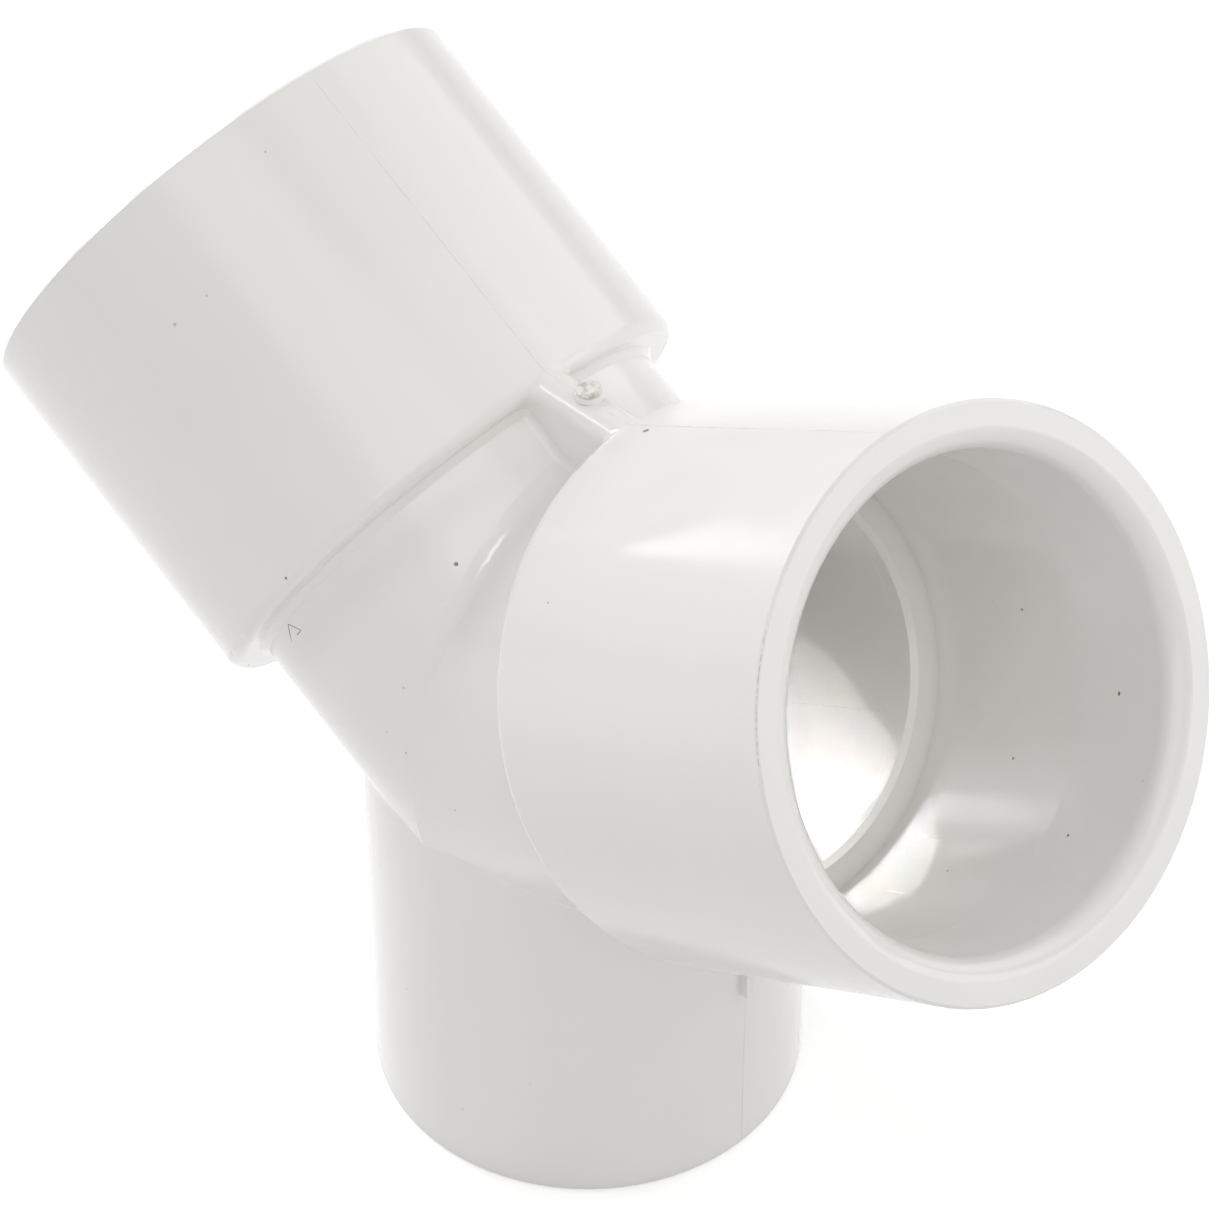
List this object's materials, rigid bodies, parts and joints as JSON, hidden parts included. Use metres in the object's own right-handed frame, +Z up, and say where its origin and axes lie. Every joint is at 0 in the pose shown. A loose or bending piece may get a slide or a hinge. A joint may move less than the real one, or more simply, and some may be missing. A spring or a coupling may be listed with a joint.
{
  "type": "pipe wye fitting",
  "caption": "Moulded pipe wye with arms at 120 degrees: sockets on the upper arms take pipe, and a plain spigot below goes into another fitting, to split or join a flow.",
  "frame": {"origin": "centre of the spigot's end face, which the fitting stands on", "axes": "+Z up along the spigot's axis, from its end towards the junction; the three axes lie in the XZ plane, and the socket arms lean 60 degrees from +Z towards +X and -X"},
  "size_m": [0.14, 0.059, 0.114],
  "materials": {
    "white_pvc": "gloss moulded PVC, white, slightly warm"
  },
  "bodies": {
    "root": {"wye_body": "white_pvc"}
  },
  "joints": []
}
